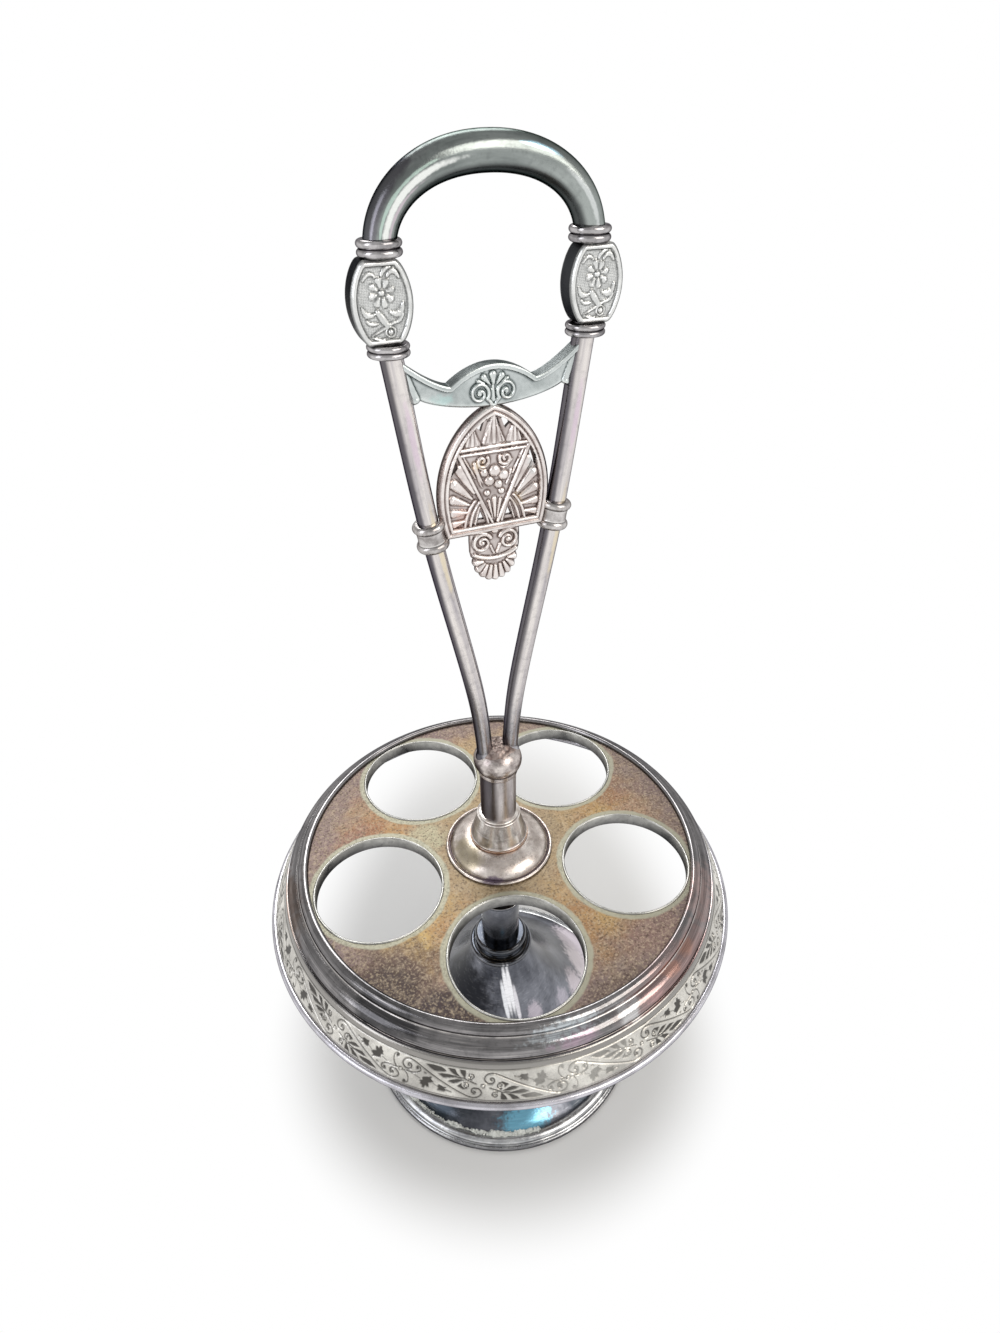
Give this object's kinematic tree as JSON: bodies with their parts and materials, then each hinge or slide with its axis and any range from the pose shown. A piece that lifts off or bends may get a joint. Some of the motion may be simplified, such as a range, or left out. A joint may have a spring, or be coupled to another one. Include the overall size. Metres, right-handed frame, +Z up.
{
  "type": "revolving cruet stand",
  "caption": "Silver-plated table stand: a trumpet foot and fixed tall handle carry a round tray with bottle holes that turns freely.",
  "frame": {"origin": "on the table, at the middle of the foot", "axes": "+Z up along the spindle; X along the plane of the handle; the pictured front is towards -Y"},
  "size_m": [0.1944, 0.1944, 0.3808],
  "materials": {
    "dark_silver": "polished silver plate, dark with age",
    "frosted_silver": "frosted silver plate with engraved ornament",
    "warm_silver": "polished silver plate",
    "tarnished_silver": "silver plate with brown and gold tarnish",
    "cast_silver": "cast and plated, dark in the hollows",
    "gunmetal_silver": "polished silver plate, grey-green with age",
    "rod_silver": "polished silver plate",
    "copper": "bare copper alloy",
    "steel": "plain steel"
  },
  "bodies": {
    "stand": {"foot_ring": "dark_silver", "foot_bell": "dark_silver", "pedestal_collar": "dark_silver", "pedestal_column": "dark_silver", "bearing_washer": "copper", "journal": "copper", "spindle": "steel", "bell_washer": "steel", "spindle_nut": "steel", "clamping_washer": "copper", "stem_collar": "warm_silver", "stem": "warm_silver", "knop": "warm_silver", "plaque": "cast_silver", "yoke": "cast_silver", "handle_arch": "gunmetal_silver", "rod_right": "rod_silver", "rod_left": "rod_silver", "clamp_right": "warm_silver", "clamp_left": "warm_silver", "lower_ferrule_right": "warm_silver", "lower_ferrule_left": "warm_silver", "cartouche_right": "cast_silver", "cartouche_left": "cast_silver", "upper_ferrule_right": "warm_silver", "upper_ferrule_left": "warm_silver"},
    "tray": {"tray_plate": "tarnished_silver", "hub_sleeve": "copper", "tray_boss": "warm_silver", "rim_moulding": "dark_silver", "engraved_band": "frosted_silver", "lip_wire": "dark_silver", "bottle_collar_1": "warm_silver", "bottle_collar_2": "warm_silver", "bottle_collar_3": "warm_silver", "bottle_collar_4": "warm_silver", "bottle_collar_5": "warm_silver"}
  },
  "joints": [
    {"name": "tray_turn", "type": "hinge", "parent": "stand", "child": "tray", "pos_m": [0, 0, 0.12], "axis": [0, 0, 1], "continuous": true}
  ]
}
